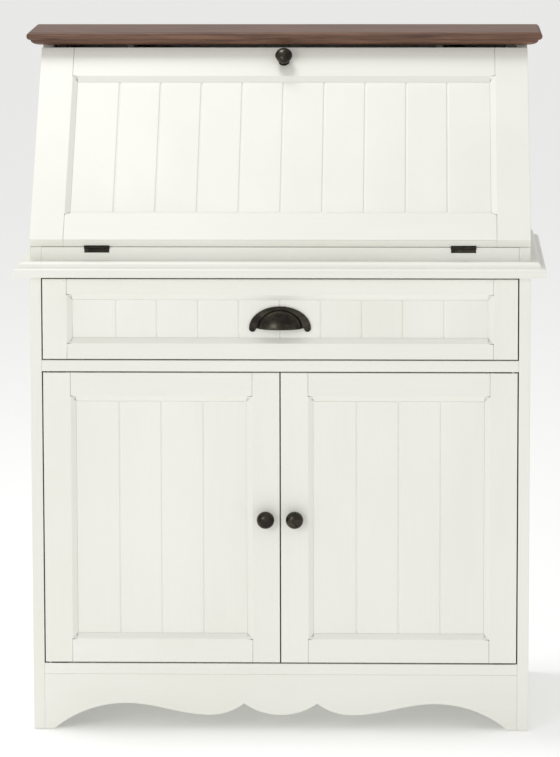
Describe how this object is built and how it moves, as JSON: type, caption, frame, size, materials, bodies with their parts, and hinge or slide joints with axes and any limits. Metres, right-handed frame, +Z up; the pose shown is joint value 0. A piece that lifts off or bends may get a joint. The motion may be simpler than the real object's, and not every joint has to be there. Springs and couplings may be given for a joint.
{
  "type": "secretary desk",
  "caption": "Painted slant-front secretary desk with a stained top, a drop-down writing flap, a wide drawer with a cup pull and a two-door cupboard on a shaped apron",
  "frame": {"origin": "On the floor, under the middle of the whole desk", "axes": "+X to the viewer's right, the front faces -Y, +Z up"},
  "size_m": [0.85, 0.486, 1.11],
  "materials": {
    "paint": "painted",
    "top_stain": "stained",
    "bare_wood": "lacquered",
    "bronze": "antique",
    "steel": "plain",
    "nylon": "moulded"
  },
  "bodies": {
    "case": {"side_left": "paint", "side_right": "paint", "top_board": "top_stain", "bottom_board": "paint", "middle_board": "paint", "drawer_top_rail": "paint", "hinge_rail": "paint", "writing_board": "paint", "back_panel": "paint", "moulding_front": "paint", "moulding_left": "paint", "moulding_right": "paint", "apron": "paint", "apron_feet": "paint", "rear_plinth": "paint", "cupboard_shelf": "paint", "shelf_pins": "steel", "pigeonhole_shelf": "paint", "divider_left": "paint", "divider_right": "paint", "runner_left": "bare_wood", "runner_right": "bare_wood", "door_catch": "nylon", "door_pivot_pins": "steel", "hinge_fixed_leaves": "bronze", "hinge_pins": "bronze", "stay_wall_plates": "steel", "top_cleats": "paint", "floor_glides": "nylon"},
    "flap": {"flap_stiles": "paint", "flap_rail_upper": "paint", "flap_rail_lower": "paint", "flap_panel": "paint", "flap_knob": "bronze", "hinge_moving_leaves": "bronze", "stay_flap_plates": "steel"},
    "stay_rear": {"stay_rear_arms": "steel"},
    "stay_front": {"stay_front_arms": "steel"},
    "drawer": {"drawer_stiles": "paint", "drawer_rails": "paint", "drawer_panel": "paint", "drawer_inner_front": "bare_wood", "drawer_side_left": "bare_wood", "drawer_side_right": "bare_wood", "drawer_back": "bare_wood", "drawer_bottom": "bare_wood", "cup_pull": "bronze", "pull_bolts": "steel"},
    "door_left": {"door_left_stiles": "paint", "door_left_rails": "paint", "door_left_panel": "paint", "door_left_knob": "bronze", "door_left_pivot_plates": "steel", "door_left_strike": "steel"},
    "door_right": {"door_right_stiles": "paint", "door_right_rails": "paint", "door_right_panel": "paint", "door_right_knob": "bronze", "door_right_pivot_plates": "steel", "door_right_strike": "steel"}
  },
  "joints": [
    {"name": "flap_hinge", "type": "hinge", "parent": "case", "child": "flap", "pos_m": [0, -0.20375, 0.786], "axis": [1, 0, 0], "range_deg": [0, 135]},
    {"name": "stay_rear_pivot", "type": "hinge", "parent": "case", "child": "stay_rear", "pos_m": [0, -0.002, 0.96], "axis": [1, 0, 0], "range_deg": [-157.2, 0]},
    {"name": "stay_front_pivot", "type": "hinge", "parent": "flap", "child": "stay_front", "pos_m": [0, -0.0892, 0.88358], "axis": [1, 0, 0], "range_deg": [-135.3, 0]},
    {"name": "drawer_slide", "type": "slide", "parent": "case", "child": "drawer", "axis": [0, -1, 0], "range_m": [0, 0.3]},
    {"name": "door_left_hinge", "type": "hinge", "parent": "case", "child": "door_left", "pos_m": [-0.373, -0.212, 0.3485], "axis": [0, 0, -1], "range_deg": [0, 110]},
    {"name": "door_right_hinge", "type": "hinge", "parent": "case", "child": "door_right", "pos_m": [0.373, -0.212, 0.3485], "axis": [0, 0, 1], "range_deg": [0, 110]}
  ],
  "couplings": [
    {"joint": "stay_rear_pivot", "follows": "flap_hinge", "ratio": -1.1604},
    {"joint": "stay_front_pivot", "follows": "flap_hinge", "ratio": -0.99816}
  ]
}
